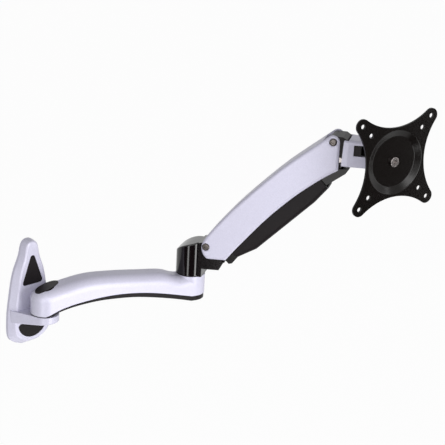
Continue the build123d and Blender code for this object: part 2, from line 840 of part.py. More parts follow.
with BuildPart() as spring_trunnion:
    with BuildSketch(side_plane(trunnion, upper_yaw)):
        Circle(trunnion_r)
    extrude(amount=pin_reach, both=True)
spring_trunnion.part.label = "spring_trunnion"
export_step(spring_trunnion.part, "parts/spring_trunnion.step")


# Spring arm shell, open below, with its screws and pins
nose_top = (upper_length + shell_top_end[0], shell_top_end[1])
nose_edge = shifted(shell_nose, upper_length, 0)
tail_edge = (upper_length + shell_tail[0], shell_tail[1])
shell_in = shell_half - shell_wall
seat_level = shell_half - pivot_seat_depth
deep = upper_length / 2


def spread(points):
    """Edge points with their shares turned into lengths along the shell."""
    return [(share * upper_length, y) for share, y in points]


def shell_ridge(drop):
    """Ridge of the shell from heel to nose, lowered by a drop."""
    ridge = shifted([shell_heel_top, *spread(shell_top), nose_top], 0, -drop)
    Spline(*ridge)


with BuildPart() as spring_arm_shell:
    with BuildSketch(shell_side) as shell_face:
        with BuildLine():
            shell_ridge(0)
            Spline(nose_top, *nose_edge)
            Line(nose_edge[-1], tail_edge)
            Spline(tail_edge, *spread(shell_under), shell_toe)
            Line(shell_toe, shell_heel_corner)
            Spline(shell_heel_corner, *shell_heel, shell_heel_top)
        make_face()
        for corner, radius in (
            (shell_toe, shell_toe_r),
            (shell_heel_corner, shell_heel_corner_r),
            (tail_edge, shell_tail_r),
        ):
            fillet(shell_face.vertices().sort_by_distance(Vector(*corner, 0))[0], radius)
    extrude(amount=shell_half, both=True)
    for flank in spring_arm_shell.faces().filter_by(Axis(lift_pivot, shell_side.z_dir)):
        fillet(flank.edges(), shell_edge_r)
    with BuildSketch(shell_side):
        with BuildLine():
            shell_ridge(shell_roof)
            Polyline(
                (nose_top[0], nose_top[1] - shell_roof),
                (nose_top[0], -deep),
                (shell_heel_top[0], -deep),
                (shell_heel_top[0], shell_heel_top[1] - shell_roof),
            )
        make_face()
        with Locations((heel_notch - deep / 2, 0)):
            Rectangle(deep, 2 * deep)
        with Locations((upper_length - nose_notch + deep / 2, 0)):
            Rectangle(deep, 2 * deep)
    extrude(amount=shell_in, both=True, mode=Mode.SUBTRACT)
    for side in (1, -1):
        with BuildSketch(shell_side.offset(side * seat_level)):
            with Locations((0, 0), (upper_length, 0)):
                Circle(pivot_seat_r)
        extrude(amount=side * pivot_seat_depth, mode=Mode.SUBTRACT)
    with BuildSketch(shell_side):
        with Locations((0, 0), (upper_length, 0)):
            Circle(pivot_screw_r)
    extrude(amount=shell_half, both=True, mode=Mode.SUBTRACT)
spring_arm_shell.part.label = "spring_arm_shell"
export_step(spring_arm_shell.part, "parts/spring_arm_shell.step")

with BuildPart() as pivot_screws:
    for side in (1, -1):
        with BuildSketch(shell_side.offset(side * seat_level)):
            with Locations((0, 0), (upper_length, 0)):
                Circle(pivot_head_r)
        extrude(amount=side * pivot_head_thick)
        crown = pivot_screws.edges().sort_by(Axis(lift_pivot, shell_side.z_dir * side))[-2:]
        fillet(crown, pivot_crown_r)
        with BuildSketch(shell_side.offset(side * seat_level)):
            with Locations((0, 0), (upper_length, 0)):
                Circle(pivot_screw_r)
        extrude(amount=-side * pivot_screw_length)
        with BuildSketch(shell_side.offset(side * (seat_level + pivot_head_thick - hex_depth))):
            with Locations((0, 0), (upper_length, 0)):
                RegularPolygon(hex_key, 6)
        extrude(amount=side * hex_depth, mode=Mode.SUBTRACT)
pivot_screws.part.label = "pivot_screws"
export_step(pivot_screws.part, "parts/pivot_screws.step")


def cross_pin(centre):
    """Pin between the shell's side walls, tapped at both ends for its screws."""
    with BuildPart(mode=Mode.PRIVATE) as pin:
        with BuildSketch(side_plane(centre, upper_yaw)):
            Circle(pin_r)
        extrude(amount=shell_in, both=True)
        for side in (1, -1):
            with BuildSketch(side_plane(centre, upper_yaw).offset(side * shell_in)):
                Circle(pivot_screw_r)
            extrude(amount=side * (seat_level - pivot_screw_length - shell_in), mode=Mode.SUBTRACT)
    return pin.part


with BuildPart() as lift_pin:
    add(cross_pin(lift_pivot))
lift_pin.part.label = "lift_pin"
export_step(lift_pin.part, "parts/lift_pin.step")

with BuildPart() as head_pin:
    add(cross_pin(head_pivot))
head_pin.part.label = "head_pin"
export_step(head_pin.part, "parts/head_pin.step")

with BuildPart() as spring_anchor_pin:
    with BuildSketch(side_plane(anchor, upper_yaw)):
        Circle(anchor_r)
    extrude(amount=shell_in, both=True)
spring_anchor_pin.part.label = "spring_anchor_pin"
export_step(spring_anchor_pin.part, "parts/spring_anchor_pin.step")


# Gas spring, from its anchor in the shell to the trunnion in the knuckle
spring_dir = (trunnion - anchor).normalized()
spring_length = (trunnion - anchor).length
spring_plan = Plane(origin=anchor, x_dir=shell_side.z_dir, z_dir=spring_dir)
tube_end = tube_start + tube_length
bore_r = tube_r - tube_wall

with BuildPart() as gas_cylinder:
    with BuildSketch(spring_plan):
        Circle(anchor_eye_half)
    extrude(amount=tube_start)
    with BuildSketch(spring_plan.offset(tube_start)):
        Circle(tube_r)
    extrude(amount=tube_length)
    with BuildSketch(spring_plan.offset(tube_start + tube_floor)):
        Circle(bore_r)
    extrude(amount=tube_length - tube_floor, mode=Mode.SUBTRACT)
    with BuildSketch(side_plane(anchor, upper_yaw)):
        Circle(anchor_eye_r)
    extrude(amount=anchor_eye_half, both=True)
    with BuildSketch(side_plane(anchor, upper_yaw)):
        Circle(anchor_r + run_gap)
    extrude(amount=anchor_eye_half, both=True, mode=Mode.SUBTRACT)
gas_cylinder.part.label = "gas_cylinder"
export_step(gas_cylinder.part, "parts/gas_cylinder.step")

with BuildPart() as gas_gland:
    with BuildSketch(spring_plan.offset(tube_end - gland_length)):
        Circle(bore_r)
        Circle(rod_r + run_gap, mode=Mode.SUBTRACT)
    extrude(amount=gland_length)
gas_gland.part.label = "gas_gland"
export_step(gas_gland.part, "parts/gas_gland.step")

with BuildPart() as gas_rod:
    with BuildSketch(spring_plan.offset(tube_end - gland_length - piston_depth)):
        Circle(bore_r - run_gap)
    extrude(amount=-piston_length)
    with BuildSketch(spring_plan.offset(tube_end - gland_length - piston_depth)):
        Circle(rod_r)
    extrude(amount=spring_length - tube_end + gland_length + piston_depth)
    with BuildSketch(side_plane(trunnion, upper_yaw)):
        Circle(rod_eye_r)
    extrude(amount=rod_eye_half, both=True)
    with BuildSketch(side_plane(trunnion, upper_yaw)):
        Circle(trunnion_r + eye_gap)
    extrude(amount=rod_eye_half, both=True, mode=Mode.SUBTRACT)
gas_rod.part.label = "gas_rod"
export_step(gas_rod.part, "parts/gas_rod.step")


# Lower link under the spring and the cable cover clipped to it
link_stop = upper_length - link_wide_end
link_base = -link_floor - link_floor_thick
web_height = link_lip - link_base
lug_thick = link_lug_out - link_lug_in
tray_end = upper_length - tray_back

with BuildPart() as lower_link:
    with BuildSketch(link_side):
        with Locations(((link_wide_start + link_stop) / 2, (link_lip + link_base) / 2)):
            Rectangle(link_stop - link_wide_start, web_height)
        Polygon(
            (link_wide_start, link_base),
            (link_wide_start, -link_heel_depth),
            (link_wide_start + link_heel_run, -link_heel_depth - link_heel_sag),
            (tray_start, -tray_heel_depth),
            (tray_start, link_base),
            align=None,
        )
        Polygon(
            (tray_end, link_base),
            (tray_end, -link_heel_depth),
            *shifted(link_lip_points, upper_length, 0),
            (link_stop, link_base),
            align=None,
        )
    extrude(amount=link_web_out, both=True)
    with BuildSketch(link_side):
        with Locations((upper_length / 2, web_height / 2 - link_floor)):
            Rectangle(upper_length, web_height)
    extrude(amount=link_web_in, both=True, mode=Mode.SUBTRACT)
    for side in (1, -1):
        with BuildSketch(link_side.offset(side * link_lug_in)):
            Circle(link_lug_r)
            with Locations((link_wide_start + link_lug_r / 2, (link_lip + link_base) / 2)):
                Rectangle(link_lug_r, web_height)
            make_hull()
        extrude(amount=side * lug_thick)
        with BuildSketch(link_side.offset(side * link_lug_in)):
            with Locations((upper_length, 0)):
                Circle(link_end_r)
            with Locations((link_stop - link_end_r / 2, (link_lip + link_base) / 2)):
                Rectangle(link_end_r, web_height)
            make_hull()
        extrude(amount=side * lug_thick)
    with BuildSketch(link_side):
        Circle(link_pin_r + run_gap)
        with Locations((upper_length, 0)):
            Circle(link_pin_r + link_end_gap)
    extrude(amount=link_lug_out, both=True, mode=Mode.SUBTRACT)
lower_link.part.label = "lower_link"
export_step(lower_link.part, "parts/lower_link.step")

with BuildPart() as arm_cable_cover:
    bevel_from = tray_end - tray_bevel
    with BuildSketch(link_side):
        Polygon(
            (tray_start, 0),
            (tray_start, -tray_heel_depth),
            (tray_start + tray_heel_run, -tray_depth),
            (bevel_from, -tray_depth),
            (tray_end, -tray_toe_depth),
            (tray_end, 0),
            align=None,
        )
    extrude(amount=tray_half, both=True)
    keel = arm_cable_cover.edges().filter_by(
        lambda edge: abs(link_side.to_local_coords(edge.center()).Z) > link_web_out
        and link_side.to_local_coords(edge.center()).Y < -tray_heel_depth
    )
    fillet(keel, tray_edge_r)
    with BuildSketch(link_side):
        Polygon(
            (tray_start, 0),
            (tray_start, tray_wall - tray_heel_depth),
            (tray_start + tray_heel_run, tray_wall - tray_depth),
            (bevel_from, tray_wall - tray_depth),
            (tray_end, tray_wall - tray_toe_depth),
            (tray_end, 0),
            align=None,
        )
    extrude(amount=link_web_out, both=True, mode=Mode.SUBTRACT)
arm_cable_cover.part.label = "arm_cable_cover"
export_step(arm_cable_cover.part, "parts/arm_cable_cover.step")


# Head: the hinge block in its housing, the bolt of the swivel
swivel_xy = (swivel_offset, 0)
housing_height = housing_top - housing_foot
slot_mid = (swivel_slot_top + swivel_slot_foot) / 2
slot_height = swivel_slot_top - swivel_slot_foot
tongue_mid = (pocket_end + swivel_slot_back) / 2

with BuildPart() as head_hinge_block:
    with BuildSketch(head_side):
        with BuildLine():
            hood_arc = RadiusArc((-hood_r, 0), (0, hood_r), hood_r)
            Polyline(
                hood_arc @ 1,
                (hood_flat, hood_r),
                hood_brow,
                (pocket_end, swivel_slot_top),
                (pocket_end, link_drop[1]),
                block_chin,
                *block_waist,
                hood_arc @ 0,
            )
        make_face()
    extrude(amount=knuckle_half, both=True)
    for flank in head_hinge_block.faces().filter_by(Axis(head_pivot, head_side.z_dir)):
        fillet(flank.edges(), head_edge_r)
    with BuildSketch(head_side):
        with Locations(((pocket_end + tongue_nose) / 2, slot_mid)):
            Rectangle(tongue_nose - pocket_end, slot_height)
    extrude(amount=knuckle_half, both=True)
    with BuildSketch(head_plan.offset(swivel_slot_foot)):
        with Locations(swivel_xy):
            Circle(barrel_r + tongue_gap)
    extrude(amount=slot_height, mode=Mode.SUBTRACT)
    with BuildSketch(head_side):
        Polygon(
            (-pocket_end, block_slot_top),
            (-pocket_end, housing_foot),
            (pocket_end, housing_foot),
            (pocket_end, block_slot_top),
            align=None,
        )
    extrude(amount=fork_half, both=True, mode=Mode.SUBTRACT)
    with BuildSketch(head_side):
        Circle(pin_bush_r)
        with Locations(link_drop):
            Circle(link_pin_r)
    extrude(amount=knuckle_half, both=True, mode=Mode.SUBTRACT)
head_hinge_block.part.label = "head_hinge_block"
export_step(head_hinge_block.part, "parts/head_hinge_block.step")

with BuildPart() as head_bush:
    with BuildSketch(head_side):
        Circle(pin_bush_r)
        Circle(pin_r + run_gap, mode=Mode.SUBTRACT)
    extrude(amount=knuckle_half, both=True)
head_bush.part.label = "head_bush"
export_step(head_bush.part, "parts/head_bush.step")

with BuildPart() as link_end_pin:
    with BuildSketch(side_plane(link_end, upper_yaw)):
        Circle(link_pin_r)
    extrude(amount=knuckle_half, both=True)
link_end_pin.part.label = "link_end_pin"
export_step(link_end_pin.part, "parts/link_end_pin.step")

with BuildPart() as head_housing:
    with BuildSketch(head_plan.offset(housing_foot)):
        with Locations(((pocket_end + housing_back_foot) / 2, 0)):
            Rectangle(pocket_end - housing_back_foot, 2 * housing_half)
        with Locations(swivel_xy):
            Circle(housing_nose_r)
        make_hull()
    extrude(amount=housing_height)
    fillet(head_housing.faces().sort_by(Axis.Z)[-1].edges(), housing_top_r)
    fillet(head_housing.faces().sort_by(Axis.Z)[0].edges(), housing_edge_r)
    nose_end = swivel_offset + housing_nose_r
    with BuildSketch(head_side):
        Polygon(
            (housing_back_top, housing_top),
            (nose_end, housing_top),
            (nose_end, housing_foot),
            (housing_back_foot, housing_foot),
            align=None,
        )
    extrude(amount=housing_half, both=True, mode=Mode.INTERSECT)
    with BuildSketch(head_side):
        with Locations((pocket_end / 2, (housing_top + housing_foot) / 2)):
            Rectangle(pocket_end, housing_height)
        with Locations((tongue_mid, slot_mid)):
            Rectangle(swivel_slot_back - pocket_end, slot_height)
    extrude(amount=knuckle_half, both=True, mode=Mode.SUBTRACT)
    with BuildSketch(head_side):
        Polygon(
            (swivel_slot_back, swivel_slot_top),
            (nose_end, swivel_slot_top),
            (nose_end, swivel_slot_foot),
            (swivel_slot_back, swivel_slot_foot),
            align=None,
        )
    extrude(amount=housing_half, both=True, mode=Mode.SUBTRACT)
    with BuildSketch(head_plan.offset(housing_foot)):
        with Locations(swivel_xy):
            Circle(swivel_bolt_r)
    extrude(amount=housing_height, mode=Mode.SUBTRACT)
    with BuildSketch(head_plan.offset(housing_foot)):
        with Locations(swivel_xy):
            Circle(swivel_recess_r)
    extrude(amount=swivel_head_thick, mode=Mode.SUBTRACT)
    with BuildSketch(head_plan.offset(housing_top)):
        with Locations(swivel_xy):
            Circle(swivel_recess_r)
    extrude(amount=-swivel_nut_thick, mode=Mode.SUBTRACT)
head_housing.part.label = "head_housing"
export_step(head_housing.part, "parts/head_housing.step")

with BuildPart() as swivel_bolt:
    with BuildSketch(head_plan.offset(housing_foot)):
        with Locations(swivel_xy):
            Circle(swivel_head_r)
    extrude(amount=swivel_head_thick)
    with BuildSketch(head_plan.offset(housing_foot + swivel_head_thick)):
        with Locations(swivel_xy):
            Circle(swivel_bolt_r)
    extrude(amount=housing_height - swivel_head_thick)
    with BuildSketch(head_plan.offset(housing_foot)):
        with Locations(swivel_xy):
            RegularPolygon(centre_key, 6)
    extrude(amount=hex_depth, mode=Mode.SUBTRACT)
swivel_bolt.part.label = "swivel_bolt"
export_step(swivel_bolt.part, "parts/swivel_bolt.step")

with BuildPart() as swivel_nut:
    with BuildSketch(head_plan.offset(housing_top)):
        with Locations(swivel_xy):
            RegularPolygon(swivel_nut_r, 6)
            Circle(swivel_bolt_r, mode=Mode.SUBTRACT)
    extrude(amount=-swivel_nut_thick)
swivel_nut.part.label = "swivel_nut"
export_step(swivel_nut.part, "parts/swivel_nut.step")

with BuildPart() as swivel_washers:
    for level, thick in (
        (swivel_slot_top, -swivel_washer_thick),
        (swivel_slot_foot, swivel_washer_thick),
    ):
        with BuildSketch(head_plan.offset(level)):
            with Locations(swivel_xy):
                Circle(barrel_r)
                Circle(swivel_bolt_r, mode=Mode.SUBTRACT)
        extrude(amount=thick)
swivel_washers.part.label = "swivel_washers"
export_step(swivel_washers.part, "parts/swivel_washers.step")


# Swivel block, tilt bracket and the screen plate
barrel_foot = swivel_slot_foot + swivel_washer_thick + face_gap
barrel_height = swivel_slot_top - swivel_washer_thick - face_gap - barrel_foot
washer_seat = neck_half + face_gap
cheek_in = washer_seat + tilt_washer_thick
cheek_out = cheek_in + cheek_thick
dish_back = dish_depth + vesa_thick
hub_front = face_offset - tilt_offset - dish_back - friction_thick - face_gap
hub_plan = Plane(origin=tilt_axis + heading(head_yaw) * hub_front, z_dir=heading(head_yaw))

with BuildPart() as swivel_block:
    with BuildSketch(swivel_plan.offset(barrel_foot)):
        Circle(barrel_r)
        with Locations((tilt_offset / 2, 0)):
            Rectangle(tilt_offset, 2 * neck_half)
    extrude(amount=barrel_height)
    with BuildSketch(tilt_side):
        Circle(tilt_lug_r)
    extrude(amount=neck_half, both=True)
    with BuildSketch(swivel_plan.offset(barrel_foot)):
        Circle(swivel_bolt_r + run_gap)
    extrude(amount=barrel_height, mode=Mode.SUBTRACT)
    with BuildSketch(tilt_side):
        Circle(tilt_bolt_r + run_gap)
    extrude(amount=neck_half, both=True, mode=Mode.SUBTRACT)
swivel_block.part.label = "swivel_block"
export_step(swivel_block.part, "parts/swivel_block.step")

with BuildPart() as tilt_washers:
    for side in (1, -1):
        with BuildSketch(tilt_side.offset(side * washer_seat)):
            Circle(tilt_washer_r)
            Circle(tilt_bolt_r, mode=Mode.SUBTRACT)
        extrude(amount=side * tilt_washer_thick)
tilt_washers.part.label = "tilt_washers"
export_step(tilt_washers.part, "parts/tilt_washers.step")

with BuildPart() as tilt_bracket:
    for side in (1, -1):
        with BuildSketch(tilt_side.offset(side * cheek_in)):
            Circle(cheek_r)
            with Locations((hub_front - hub_thick / 2, 0)):
                Rectangle(hub_thick, 2 * cheek_r)
            make_hull()
            Circle(tilt_bolt_r, mode=Mode.SUBTRACT)
        extrude(amount=side * cheek_thick)
    with BuildSketch(hub_plan):
        Circle(hub_r)
    extrude(amount=-hub_thick)
    with BuildSketch(hub_plan):
        Circle(centre_bolt_r)
    extrude(amount=-hub_thick, mode=Mode.SUBTRACT)
tilt_bracket.part.label = "tilt_bracket"
export_step(tilt_bracket.part, "parts/tilt_bracket.step")

with BuildPart() as tilt_bolt:
    with BuildSketch(tilt_side.offset(cheek_out)):
        Circle(tilt_head_r)
    extrude(amount=tilt_head_thick)
    with BuildSketch(tilt_side.offset(cheek_out)):
        Circle(tilt_bolt_r)
    extrude(amount=-2 * cheek_out - tilt_head_thick)
    with BuildSketch(tilt_side.offset(cheek_out + tilt_head_thick)):
        RegularPolygon(centre_key, 6)
    extrude(amount=-hex_depth, mode=Mode.SUBTRACT)
tilt_bolt.part.label = "tilt_bolt"
export_step(tilt_bolt.part, "parts/tilt_bolt.step")

with BuildPart() as tilt_nut:
    with BuildSketch(tilt_side.offset(-cheek_out)):
        RegularPolygon(tilt_head_r, 6)
        Circle(tilt_bolt_r, mode=Mode.SUBTRACT)
    extrude(amount=-tilt_head_thick)
tilt_nut.part.label = "tilt_nut"
export_step(tilt_nut.part, "parts/tilt_nut.step")

with BuildPart() as centre_bolt:
    with BuildSketch(plate_face.offset(face_gap - dish_depth)):
        Circle(centre_head_r)
    extrude(amount=centre_head_thick)
    fillet(centre_bolt.faces().sort_by(Axis(plate_centre, plate_face.z_dir))[-1].edges(), cap_edge_r)
    with BuildSketch(plate_face.offset(face_gap - dish_depth)):
        Circle(centre_bolt_r)
    extrude(amount=-(face_gap + vesa_thick + friction_thick + face_gap + hub_thick))
    with BuildSketch(plate_face.offset(face_gap - dish_depth + centre_head_thick)):
        RegularPolygon(centre_key, 6)
    extrude(amount=-centre_key_depth, mode=Mode.SUBTRACT)
centre_bolt.part.label = "centre_bolt"
export_step(centre_bolt.part, "parts/centre_bolt.step")

with BuildPart() as vesa_friction_washer:
    with BuildSketch(plate_face.offset(-dish_back)):
        Circle(friction_r)
        Circle(centre_bolt_r + washer_gap, mode=Mode.SUBTRACT)
    extrude(amount=-friction_thick)
vesa_friction_washer.part.label = "vesa_friction_washer"
export_step(vesa_friction_washer.part, "parts/vesa_friction_washer.step")

lobe_at = vesa_outer / 2
lobe_depth = vesa_lobe_r - vesa_waist
waist_centre = (2 * lobe_at**2 - lobe_depth**2) / (2 * (lobe_at + lobe_depth))
waist_r = waist_centre - vesa_waist
lobe_share = vesa_lobe_r / (waist_r + vesa_lobe_r)
lobe_near = lobe_at * (1 - lobe_share)
lobe_far = lobe_at + (waist_centre - lobe_at) * lobe_share
lobe_corner = [(lobe_far, lobe_near), (lobe_near, lobe_far)]
lobe_corners = lobe_corner + [(-y, x) for x, y in lobe_corner]
lobe_corners += [(-x, -y) for x, y in lobe_corners]
dish_section = Plane(
    origin=plate_centre, x_dir=plate_right, z_dir=plate_right.cross(heading(head_yaw))
)

with BuildPart() as vesa_plate:
    with BuildSketch(plate_face):
        Polygon(*lobe_corners, align=None)
        with PolarLocations(waist_centre, 4):
            Circle(waist_r, mode=Mode.SUBTRACT)
        with GridLocations(vesa_outer, vesa_outer, 2, 2):
            Circle(vesa_lobe_r)
        Circle(dish_rim_r + vesa_thick, mode=Mode.SUBTRACT)
    extrude(amount=-vesa_thick)
    with BuildSketch(dish_section) as dish:
        Polygon(
            (0, -dish_depth),
            (dish_floor_r, -dish_depth),
            (dish_rim_r, 0),
            (dish_rim_r + vesa_thick, 0),
            (dish_rim_r + vesa_thick, -vesa_thick),
            (dish_rim_r + dish_bend, -vesa_thick),
            (dish_floor_r + dish_bend, -dish_back),
            (0, -dish_back),
            align=None,
        )
        for corner in ((dish_floor_r, -dish_depth), (dish_rim_r, 0)):
            fillet(dish.vertices().sort_by_distance(Vector(*corner, 0))[0], dish_edge_r)
    revolve(axis=Axis(plate_centre, heading(head_yaw)))
    with BuildSketch(plate_face):
        with GridLocations(vesa_outer, vesa_outer, 2, 2):
            Circle(vesa_hole_r)
        with GridLocations(vesa_inner, vesa_inner, 2, 2):
            Circle(vesa_hole_r)
        Circle(centre_bolt_r + run_gap)
    extrude(amount=-dish_back, mode=Mode.SUBTRACT)
vesa_plate.part.label = "vesa_plate"
export_step(vesa_plate.part, "parts/vesa_plate.step")
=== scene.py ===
import json
from math import cos, radians, sin

import bpy
from mathutils import Matrix, Vector


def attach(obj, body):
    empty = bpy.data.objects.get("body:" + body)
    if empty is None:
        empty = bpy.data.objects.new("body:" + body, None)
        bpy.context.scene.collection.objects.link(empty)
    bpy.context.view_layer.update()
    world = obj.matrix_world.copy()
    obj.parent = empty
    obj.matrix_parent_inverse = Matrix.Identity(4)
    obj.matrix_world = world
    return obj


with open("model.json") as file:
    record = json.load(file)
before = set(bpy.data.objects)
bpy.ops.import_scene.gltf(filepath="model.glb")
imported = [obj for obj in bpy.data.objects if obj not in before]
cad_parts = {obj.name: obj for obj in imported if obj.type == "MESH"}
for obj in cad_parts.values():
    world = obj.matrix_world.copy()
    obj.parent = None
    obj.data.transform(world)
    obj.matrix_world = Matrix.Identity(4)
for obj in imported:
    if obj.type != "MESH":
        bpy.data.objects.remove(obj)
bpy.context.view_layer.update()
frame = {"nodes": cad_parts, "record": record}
nodes = frame["nodes"]
print("frame loaded:", len(nodes), "nodes")


def hexColor(code):
    # sRGB hex to the linear colour that shaders take
    steps = [int(code[i:i + 2], 16) / 255 for i in (1, 3, 5)]
    linear = [c / 12.92 if c <= 0.04045 else ((c + 0.055) / 1.055) ** 2.4 for c in steps]
    return (*linear, 1.0)


def addNode(tree, kind, settings=None, **links):
    # one node, its settings, and what feeds its inputs: a socket to link or a value to set
    node = tree.nodes.new(kind)
    for name, value in (settings or {}).items():
        setattr(node, name, value)
    for name, value in links.items():
        socket = node.inputs[int(name[1:])] if name[1:].isdigit() else node.inputs[name.replace("_", " ")]
        if isinstance(value, bpy.types.NodeSocket):
            tree.links.new(value, socket)
        else:
            socket.default_value = value
    return node


def newMaterial(name):
    material = bpy.data.materials.new(name)
    material.use_nodes = True
    material.node_tree.nodes.clear()
    return material, material.node_tree


# Camera at the photograph's viewpoint: a long lens, looking down a little and slightly rolled
cameraSetup = {
    "place": (1.12935, -0.82563, 0.585),
    "turn": 46.0,  # degrees between the lens axis and the wall's normal
    "pitch": 19.0,
    "roll": 3.0,
    "focalPixels": 1200.0,
    "imagePixels": 445.0,
    "sensor": 36.0,
    "farClip": 60.0,
}


def buildCamera(setup):
    turn, pitch, roll = (radians(setup[key]) for key in ("turn", "pitch", "roll"))
    across = Vector((sin(turn), cos(turn), 0))
    level = Vector((-cos(turn), sin(turn), 0))
    ahead = level * cos(pitch) - Vector((0, 0, 1)) * sin(pitch)
    above = level * sin(pitch) + Vector((0, 0, 1)) * cos(pitch)
    xAxis = across * cos(roll) + above * sin(roll)
    yAxis = above * cos(roll) - across * sin(roll)
    data = bpy.data.cameras.new("photoCamera")
    data.sensor_width = setup["sensor"]
    data.lens = setup["focalPixels"] * setup["sensor"] / setup["imagePixels"]
    data.clip_end = setup["farClip"]
    camera = bpy.data.objects.new("photoCamera", data)
    axes = Matrix((xAxis, yAxis, -ahead)).transposed().to_4x4()
    camera.matrix_world = Matrix.Translation(setup["place"]) @ axes
    bpy.context.scene.collection.objects.link(camera)
    bpy.context.scene.camera = camera


buildCamera(cameraSetup)
print("camera placed")

# Studio: pale floor far below the mount, tall softboxes either side of the lens, dim room
studio = {
    "floorHeight": -1.2,
    "floorSize": 60.0,
    "floorColor": "#f7f7f8",
    "floorGlow": 0.97,  # share of plain white that the lens and reflections see, the rest is shaded paper
    "aim": (0.2, 0.17, 0.1),
    "boxes": [
        # name, heading in degrees from +X, elevation, distance, width, height, power
        ("rightSoftbox", -3, -4, 2.0, 0.7, 2.1, 31.0),
        ("leftStrip", -68, -5, 2.0, 0.4, 2.1, 12.5),
        ("rearStrip", 38, -5, 2.0, 0.2, 2.1, 5.0),
        ("lensFill", -40, 24, 2.4, 1.6, 1.2, 13.0),
    ],
    "clothHeading": -35.0,
    "clothDistance": 4.6,
    "clothSize": (7.6, 16.0),
    "clothLift": 0.01,
    "clothColor": "#0a0a0b",
    "roomLight": 0.22,
    "white": (1, 1, 1, 1),
}


def directlySeen(tree):
    # one for rays from the lens and for those that metal or glass sends on, none for light on the object
    paths = addNode(tree, "ShaderNodeLightPath")
    direct = addNode(
        tree, "ShaderNodeMath", {"operation": "MAXIMUM"},
        _0=paths.outputs["Is Camera Ray"], _1=paths.outputs["Is Glossy Ray"],
    )
    seen = addNode(
        tree, "ShaderNodeMath", {"operation": "MAXIMUM"},
        _0=direct.outputs[0], _1=paths.outputs["Is Transmission Ray"],
    )
    return seen.outputs[0]


def buildStudio(setup):
    size = setup["floorSize"] / 2
    floorMesh = bpy.data.meshes.new("floor")
    corners = [(-size, -size), (size, -size), (size, size), (-size, size)]
    floorMesh.from_pydata([(x, y, setup["floorHeight"]) for x, y in corners], [], [(0, 1, 2, 3)])
    floor = bpy.data.objects.new("floor", floorMesh)
    bpy.context.scene.collection.objects.link(floor)
    # matt paper sweep: white to the lens and in reflections, still shaded where the mount stands over it
    material, tree = newMaterial("matt white paper sweep")
    seen = directlySeen(tree)
    share = addNode(tree, "ShaderNodeMath", {"operation": "MULTIPLY"}, _0=seen, _1=setup["floorGlow"])
    paper = addNode(tree, "ShaderNodeBsdfDiffuse", Color=hexColor(setup["floorColor"]))
    glow = addNode(tree, "ShaderNodeEmission", Color=setup["white"], Strength=1.0)
    mixed = addNode(
        tree, "ShaderNodeMixShader", Fac=share.outputs[0], _1=paper.outputs[0], _2=glow.outputs[0],
    )
    addNode(tree, "ShaderNodeOutputMaterial", Surface=mixed.outputs[0])
    floorMesh.materials.append(material)

    # black cloth over the floor on the lens side, seen only in reflections: it keeps gloss black dark
    heading = radians(setup["clothHeading"])
    forth = Vector((cos(heading), sin(heading), 0))
    aside = Vector((-forth.y, forth.x, 0))
    deep, wide = setup["clothSize"]
    middle = forth * setup["clothDistance"] + Vector((0, 0, setup["floorHeight"] + setup["clothLift"]))
    clothMesh = bpy.data.meshes.new("blackCloth")
    sheet = [(-1, -1), (1, -1), (1, 1), (-1, 1)]
    spots = [middle + forth * deep / 2 * u + aside * wide / 2 * v for u, v in sheet]
    clothMesh.from_pydata(spots, [], [(0, 1, 2, 3)])
    blackCloth = bpy.data.objects.new("blackCloth", clothMesh)
    blackCloth.visible_camera = False
    blackCloth.visible_diffuse = False
    blackCloth.visible_shadow = False
    bpy.context.scene.collection.objects.link(blackCloth)
    material, tree = newMaterial("black velvet cloth")
    velvet = addNode(tree, "ShaderNodeBsdfDiffuse", Color=hexColor(setup["clothColor"]))
    addNode(tree, "ShaderNodeOutputMaterial", Surface=velvet.outputs[0])
    clothMesh.materials.append(material)

    aim = Vector(setup["aim"])
    for name, heading, elevation, distance, width, height, power in setup["boxes"]:
        light = bpy.data.lights.new(name, "AREA")
        light.shape = "RECTANGLE"
        light.size = width
        light.size_y = height
        light.energy = power
        lamp = bpy.data.objects.new(name, light)
        h, e = radians(heading), radians(elevation)
        away = Vector((cos(h) * cos(e), sin(h) * cos(e), sin(e)))
        lamp.location = aim + away * distance
        lamp.rotation_euler = away.to_track_quat("Z", "Y").to_euler()
        bpy.context.scene.collection.objects.link(lamp)

    # the room: an even dim grey all round, white where the lens or a reflection looks past the floor
    world = bpy.data.worlds.new("studio")
    bpy.context.scene.world = world
    world.use_nodes = True
    tree = world.node_tree
    tree.nodes.clear()
    seen = directlySeen(tree)
    room = addNode(tree, "ShaderNodeBackground", Color=setup["white"], Strength=setup["roomLight"])
    white = addNode(tree, "ShaderNodeBackground", Color=setup["white"], Strength=1.0)
    mixed = addNode(tree, "ShaderNodeMixShader", Fac=seen, _1=room.outputs[0], _2=white.outputs[0])
    addNode(tree, "ShaderNodeOutputWorld", Surface=mixed.outputs[0])
    bpy.context.scene.view_settings.view_transform = "Standard"


buildStudio(studio)
print("studio lit")

# Silver powder coat on die-cast aluminium: pale lilac-grey, a soft sheen over faint orange peel,
# and metal flakes that give it a fine sparkle
silverCoat = {
    "color": "#d0cee0",
    "deep": "#cac8da",
    "roughness": 0.38,
    "roughnessSwing": 0.05,
    "metallic": 0.1,
    "specular": 0.4,
    "peel": 0.0024,  # metres between the crests of the orange peel
    "relief": 0.00002,
    "flake": 0.0011,  # real flakes are a tenth of this, drawn coarse enough to show
}


